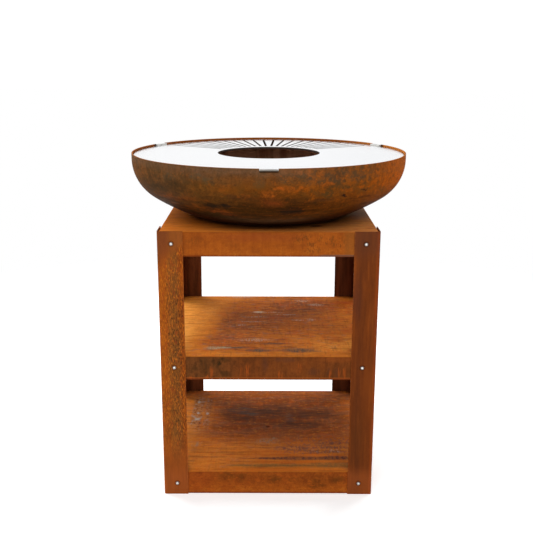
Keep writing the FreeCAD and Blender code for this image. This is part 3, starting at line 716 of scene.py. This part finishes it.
    # golden brown and calm left of the middle, orange at the far right
    calm = n.patches(xw, zw, ((-0.060, 0.914, 0.110, 0.032), (-0.100, 0.896, 0.060, 0.020)), 1.0)
    color = n.mix(n.mul(n.mul(calm, front), 0.36), color, srgb(120, 68, 22))
    ripe = n.mul(n.step(n.X, 0.25, 0.34), n.step(n.shake(n.Z, 0.02, 30, 12.3), 0.845, 0.900))
    color = n.mix(n.mul(ripe, n.step(speck, 0.38, 0.60, 0.70, 0.34)), color, srgb(176, 86, 25))
    # the warm band round the belly, the paler one below the rim
    warmth = n.mul(n.step(n.shake(n.Z, 0.012, 24, 12.0), 0.930, 0.898), n.step(n.Z, 0.800, 0.840))
    warmth = n.mul(warmth, n.step(n.X, -0.30, -0.16, 0.10, 0.90))
    color = n.mix(warmth, color, (1.0, 0.88, 0.44, 1.0), "MULTIPLY")
    pale = n.mul(n.step(n.shake(n.Z, 0.008, (24, 24, 60), 12.6), 0.926, 0.948), n.step(n.X, 0.16, 0.04, 0.10, 1.0))
    color = n.mix(n.mul(pale, n.step(speck, 0.38, 0.60, 0.46, 0.24)), color, srgb(110, 85, 64))
    dark = n.patches(xk, zk, (
        (-0.146, 0.847, 0.028, 0.012), (-0.112, 0.849, 0.023, 0.010), (0.195, 0.877, 0.013, 0.004),
        (0.055, 0.836, 0.050, 0.016), (0.252, 0.887, 0.012, 0.005)))
    faint = n.patches(xk, zk, ((-0.139, 0.914, 0.022, 0.005), (-0.083, 0.913, 0.012, 0.006), (-0.095, 0.880, 0.020, 0.010), (0.135, 0.867, 0.060, 0.007)), 1.0)
    color = n.mix(n.mul(n.mul(faint, front), 0.46), color, srgb(52, 38, 22))
    color = n.mix(n.mul(n.mul(dark, front), n.step(level, 0.36, 0.56, 0.62, 0.90)), color, srgb(28, 20, 13))
    flare = n.patches(xk, zk, (
        (0.050, 0.902, 0.070, 0.010), (0.150, 0.912, 0.036, 0.009), (0.000, 0.890, 0.030, 0.014), (0.200, 0.892, 0.030, 0.008)))
    weak = n.patches(xk, zk, ((-0.120, 0.832, 0.060, 0.008), (-0.120, 0.902, 0.040, 0.014), (-0.060, 0.880, 0.05, 0.012)))
    flare = n.mul(n.top(flare, n.mul(weak, 0.45)), front)
    color = n.mix(n.mul(n.mul(flare, n.step(b, 0.38, 0.60, 0.16, 0.60)), n.step(speck, 0.40, 0.56, 1.0, 0.30)), color, srgb(168, 80, 22))
    dusk = n.patches(xw, zw, ((-0.060, 0.873, 0.060, 0.018), (0.062, 0.868, 0.042, 0.020)), 1.0)
    color = n.mix(n.mul(n.mul(dusk, front), 0.42), color, srgb(46, 28, 12))
    scald = n.patches(xk, zk, ((-0.128, 0.831, 0.046, 0.008), (-0.108, 0.822, 0.034, 0.006), (0.008, 0.866, 0.048, 0.024)), 1.0)
    color = n.mix(n.mul(n.mul(scald, front), n.step(level, 0.36, 0.60, 0.38, 0.20)), color, srgb(134, 58, 22))
    # painted shadow under each lug
    lug_shadow = None
    for az in (270.0, 30.0, 150.0):
        ca, sa = math.cos(math.radians(az)), math.sin(math.radians(az))
        along = n.math("ABSOLUTE", n.sub(n.mul(n.Y, ca), n.mul(n.X, sa)))
        m = n.mul(n.step(along, 0.0250, 0.0225), n.step(n.add(n.mul(n.X, ca), n.mul(n.Y, sa)), 0.30, 0.32))
        lug_shadow = m if lug_shadow is None else n.top(lug_shadow, m)
    lug_shadow = n.mul(lug_shadow, n.step(n.Z, 0.9420, 0.9452))
    color = n.mix(n.mul(lug_shadow, 0.74), color, srgb(30, 19, 9))
    # painted light: a paler grey brown near the seat lifts the shade where the bowl meets the plate
    seat_painted_light = n.step(n.mad(n.sub(cloud, 0.5), 0.03, n.Z), 0.814, 0.785)
    color = n.mix(n.mul(seat_painted_light, 0.72), color, srgb(102, 71, 47))
    # inside: burnt brown, streaked, with ash grey towards the bottom; the pale ash brown mixed all through it is partly
    # painted light that lifts the shaded inside
    vi, ai, bi, ci = grain(n, (1, 1, 0.5), 13.0, 0.14, 0.14, 0.08, 0.72)
    burnt = n.mix(0.62, n.ramp(vi, RED), srgb(200, 152, 120))
    r = n.math("SQRT", n.add(n.mul(n.X, n.X), n.mul(n.Y, n.Y)))
    turn = n.join(n.math("DIVIDE", n.X, r), n.math("DIVIDE", n.Y, r), n.Z)
    tears = n.noise((17, 17, 4), 3, 0.55, 13.5, 0.0, turn)
    steep = n.step(r, 0.10, 0.26)
    burnt = n.mix(n.mul(n.step(tears, 0.48, 0.66, 0.0, 0.48), steep), burnt, srgb(112, 66, 44))
    bed = n.noise(22, 6, 0.62, 13.8)
    burnt = n.mix(n.mul(n.step(bed, 0.36, 0.66, 0.10, 0.50), n.sub(1.0, steep)), burnt, srgb(120, 82, 60))
    burnt = n.mix(n.mul(n.step(n.noise(150, 4, 0.6, 13.9), 0.54, 0.66), n.mad(steep, -0.20, 0.36)), burnt, srgb(84, 52, 36))
    brim = n.step(n.Z, 0.930, 0.944)
    glint = n.step(n.X, 0.20, 0.36, 0.0, 0.75)
    burnt = n.mix(brim, burnt, n.mix(glint, n.mix(0.40, n.ramp(n.sub(vi, 0.09), AMBER), srgb(150, 84, 46)), srgb(190, 114, 46)))
    color = n.mix(inner, color, burnt)
    color = n.mix(n.mul(rim, 0.7), color, srgb(158, 98, 52))
    # painted shade at the near end of each rear notch
    notch_shade = n.top(n.blob(n.X, n.Y, -0.360, 0.174, 0.010, 0.012, 0.6), n.blob(n.X, n.Y, 0.360, 0.174, 0.010, 0.012, 0.6))
    color = n.mix(n.mul(n.mul(notch_shade, n.step(n.Z, 0.926, 0.936)), 0.85), color, srgb(30, 20, 12))
    h = n.add(b, n.mad(speck, 0.6, n.mul(c, 0.7)))
    rough = n.step(v, 0.15, 0.7, 0.62, 0.88)
    return n.shader(color, rough, 0.0, n.bump(h, 0.40, 0.0010), 0.015)


dress("fire_bowl", bowl_material())


def shade_bead_material():
    n = Net("shade_bead_rust")
    v, a, b, c = grain(n, (1, 1, 1), 15.0, 0.10, 0.16, 0.10, 0.24)
    return n.shader(n.ramp(v, RUST), n.step(v, 0.1, 0.5, 0.75, 0.92), 0.0, n.bump(n.add(b, c), 0.4, 0.0005), 0.02)


def shade_bead():
    """A thin dark bead where the bowl rests on the edge of the hole in the top plate: a dark piece put as painted shade
    to close the gap at the contact.
    """
    seat_r, crown_r, turns = 0.2200, 0.6400, 288
    seat_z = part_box("top_plate")[1][2]
    low_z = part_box("fire_bowl")[0][2]
    section = []
    for r in (0.2188, 0.2196, 0.2204, 0.2212):
        section.append((r, low_z + crown_r - math.sqrt(crown_r ** 2 - r ** 2) + 0.0003))
    for r, dz in ((0.2212, -0.0004), (0.2200, -0.0012), (0.2188, -0.0012)):
        section.append((r, seat_z + dz))
    k = len(section)
    verts, faces = [], []
    for i in range(turns):
        t = 2 * math.pi * i / turns
        wave = 1.0 + 0.0004 * math.sin(17 * t) + 0.0003 * math.sin(41 * t + 1.3)
        verts += [(r * wave * math.cos(t), r * wave * math.sin(t), z) for r, z in section]
        j = (i + 1) % turns
        faces += [(i * k + m, j * k + m, j * k + (m + 1) % k, i * k + (m + 1) % k) for m in range(k)]
    mesh = bpy.data.meshes.new("seat_shade_bead")
    mesh.from_pydata(verts, [], faces)
    mesh.update()
    for p in mesh.polygons:
        p.use_smooth = True
    o = bpy.data.objects.new("seat_shade_bead", mesh)
    scene.collection.objects.link(o)
    o.data.materials.append(shade_bead_material())
    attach(o, "stand")
    return o


shade_bead()


# -------------------------------------------------------------- bright steel
def plate_material():
    n = Net("plate_steel")
    g = n.noise((16, 700, 16), 3, 0.6, 2.0)
    m = n.noise(9, 3, 0.55, 4.0)
    # slot walls, cut edges and underside darker: soot and painted shade in the narrow slots
    wall = n.step(n.math("ABSOLUTE", n.NZ), 0.75, 0.35)
    soot_shade_faces = n.top(wall, n.step(n.NZ, -0.3, -0.6))
    bright = n.ramp(n.add(n.mul(g, 0.4), n.mul(m, 0.6)), [(0.3, (0.770, 0.780, 0.800)), (0.7, (0.806, 0.815, 0.832))])
    bright = n.mix(n.step(n.X, 0.02, 0.32, 0.0, 0.45), bright, (0.64, 0.65, 0.68, 1.0))
    soot_and_shade = n.ramp(n.noise(60, 4, 0.6, 5.0), [(0.3, srgb(34, 25, 20)), (0.7, srgb(70, 50, 38))])
    color = n.mix(soot_shade_faces, bright, soot_and_shade)
    rough = n.lerp(soot_shade_faces, n.mad(g, 0.06, n.mad(m, 0.08, 0.10)), 0.8)
    metal = n.sub(1.0, soot_shade_faces)
    return n.shader(color, rough, metal, n.bump(g, 0.05, 0.0002), 0.3)


def lug_material():
    n = Net("lug_steel")
    g = n.noise((260, 260, 900), 3, 0.6, 6.0)
    m = n.noise(90, 4, 0.6, 6.5)
    color = n.ramp(n.add(n.mul(g, 0.5), n.mul(m, 0.5)), [(0.32, (0.70, 0.70, 0.69)), (0.68, (0.95, 0.95, 0.945))])
    # sawn faces: painted light on those towards the plate, painted shade on those facing out
    side = n.step(n.NZ, 0.8, 0.4)
    outward_shade = n.step(n.add(n.mul(n.NX, n.X), n.mul(n.NY, n.Y)), 0.05, 0.25)
    sawn = n.mix(outward_shade, n.mix(g, srgb(188, 186, 180), srgb(220, 218, 212)), n.mix(m, srgb(112, 106, 98), srgb(150, 145, 138)))
    color = n.mix(side, color, sawn)
    return n.shader(color, n.step(g, 0.3, 0.7, 0.28, 0.42), n.lerp(side, 1.0, 0.25), n.bump(g, 0.12, 0.0003), 0.4)


def zinc_material():
    n = Net("zinc_plate")
    g = n.noise(600, 3, 0.6, 8.0)
    m = n.noise(140, 3, 0.6, 8.4)
    color = n.ramp(n.add(n.mul(g, 0.5), n.mul(m, 0.5)), [(0.3, (0.74, 0.73, 0.70)), (0.7, (0.97, 0.965, 0.95))])
    # heads shine on their crown; the dark brown round their edge is painted shade and painted reflection of the rust
    # round them
    crown = n.step(n.top(n.math("ABSOLUTE", n.NX), n.math("ABSOLUTE", n.NY)), 0.87, 0.97)
    color = n.mix(n.mul(n.sub(1.0, crown), 0.76), color, srgb(76, 54, 38))
    return n.shader(color, n.step(g, 0.3, 0.7, 0.26, 0.40), 1.0, n.bump(g, 0.08, 0.0002), 0.5)


dress("plancha_plate", plate_material())
lug = lug_material()
for name in ("front_rest_lug", "rear_left_rest_lug", "rear_right_rest_lug"):
    dress(name, lug)
zinc = zinc_material()
for name in nodes:
    if name.endswith(("_bolts", "_washers", "_nuts")):
        dress(name, zinc)

# -------------------------------------------------------------------- stage
def staged(name, verts, faces, material, lights=True):
    mesh = bpy.data.meshes.new(name)
    mesh.from_pydata(verts, [], faces)
    mesh.materials.append(material)
    o = bpy.data.objects.new(name, mesh)
    scene.collection.objects.link(o)
    o.visible_diffuse = o.visible_shadow = lights
    return o


S = 30.0
n = Net("floor_pale")
away = n.math("SQRT", n.add(n.mul(n.X, n.X), n.mul(n.Y, n.Y)))
far = n.top(n.step(n.add(n.Y, n.mul(n.math("ABSOLUTE", n.X), 0.5)), 1.2, 3.0), n.step(away, 2.0, 3.0))
d = n.new("ShaderNodeBsdfDiffuse")
d.inputs["Color"].default_value = (0.88, 0.88, 0.88, 1)
e0 = n.new("ShaderNodeEmission")
e0.inputs["Strength"].default_value = 0.43
near = n.new("ShaderNodeAddShader")
n.put(near.inputs[0], d.outputs[0])
n.put(near.inputs[1], e0.outputs[0])
e1 = n.new("ShaderNodeEmission")
e1.inputs["Strength"].default_value = 1.0
m = n.new("ShaderNodeMixShader")
n.put(m.inputs[0], far)
n.put(m.inputs[1], near.outputs[0])
n.put(m.inputs[2], e1.outputs[0])
out = n.new("ShaderNodeOutputMaterial")
n.put(out.inputs["Surface"], m.outputs[0])
staged("floor", [(-S, -3, 0), (S, -3, 0), (S, S, 0), (-S, S, 0)], [(0, 1, 2, 3)], n.material)

n = Net("backdrop_white")
e = n.new("ShaderNodeEmission")
e.inputs["Strength"].default_value = 1.0
out = n.new("ShaderNodeOutputMaterial")
n.put(out.inputs["Surface"], e.outputs[0])
if hasattr(n.material, "cycles"):
    n.material.cycles.emission_sampling = "NONE"
staged("floor_front", [(-S, -S, 0), (S, -S, 0), (S, -3, 0), (-S, -3, 0)], [(0, 1, 2, 3)], n.material, False)
ring = [(9.0 * math.cos(math.radians(a)), 9.0 * math.sin(math.radians(a))) for a in range(-220, 41, 5)]
staged("backdrop", [(x, y, 0.0) for x, y in ring] + [(x, y, 7.0) for x, y in ring],
       [(i, i + 1, len(ring) + i + 1, len(ring) + i) for i in range(len(ring) - 1)], n.material, False)

# Studio: bright behind, dim on the camera's side and overhead.
world = bpy.data.worlds.new("studio")
scene.world = world
world.use_nodes = True
wt = world.node_tree
wt.nodes.clear()
tc = wt.nodes.new("ShaderNodeTexCoord")
sp = wt.nodes.new("ShaderNodeSeparateXYZ")
wt.links.new(tc.outputs["Generated"], sp.inputs[0])


def world_step(socket, a, b, lo, hi):
    m = wt.nodes.new("ShaderNodeMapRange")
    m.interpolation_type = "SMOOTHSTEP"
    wt.links.new(socket, m.inputs["Value"])
    m.inputs["From Min"].default_value = a
    m.inputs["From Max"].default_value = b
    m.inputs["To Min"].default_value = lo
    m.inputs["To Max"].default_value = hi
    return m.outputs[0]


back = world_step(sp.outputs["Y"], 0.05, 0.6, 0.13, 1.08)
high = world_step(sp.outputs["Z"], 0.5, 0.85, 1.0, 0.25)
dim = wt.nodes.new("ShaderNodeMath")
dim.operation = "MULTIPLY"
wt.links.new(back, dim.inputs[0])
wt.links.new(high, dim.inputs[1])
bg = wt.nodes.new("ShaderNodeBackground")
bg.inputs["Color"].default_value = (1, 1, 1, 1)
wt.links.new(dim.outputs[0], bg.inputs["Strength"])
wo = wt.nodes.new("ShaderNodeOutputWorld")
wt.links.new(bg.outputs[0], wo.inputs["Surface"])


def softbox(name, at, look, w, h, power, mirrored=True):
    data = bpy.data.lights.new(name, "AREA")
    data.shape = "RECTANGLE"
    data.size, data.size_y = w, h
    data.energy = power
    o = bpy.data.objects.new(name, data)
    scene.collection.objects.link(o)
    o.location = at
    o.rotation_mode = "QUATERNION"
    o.rotation_quaternion = (Vector(look) - Vector(at)).to_track_quat("-Z", "Y")
    o.visible_glossy = mirrored
    return o


softbox("front_left", (-1.1, -2.6, 3.1), (0, 0, 0.5), 1.6, 1.6, 38)
softbox("front_right", (1.1, -2.6, 3.1), (0, 0, 0.5), 1.6, 1.6, 42)
softbox("front_low", (-1.1, -3.2, 2.2), (0, 0, 0.5), 1.6, 1.6, 14)
softbox("back_left", (-2.0, 1.8, 2.4), (0, 0, 0.5), 2.4, 2.4, 104, False)
softbox("back_right", (2.0, 1.8, 2.4), (0, 0, 0.5), 1.4, 1.6, 34, False)
softbox("back", (0.0, 3.2, 2.2), (0, 0, 0.5), 2.0, 1.4, 18, False)
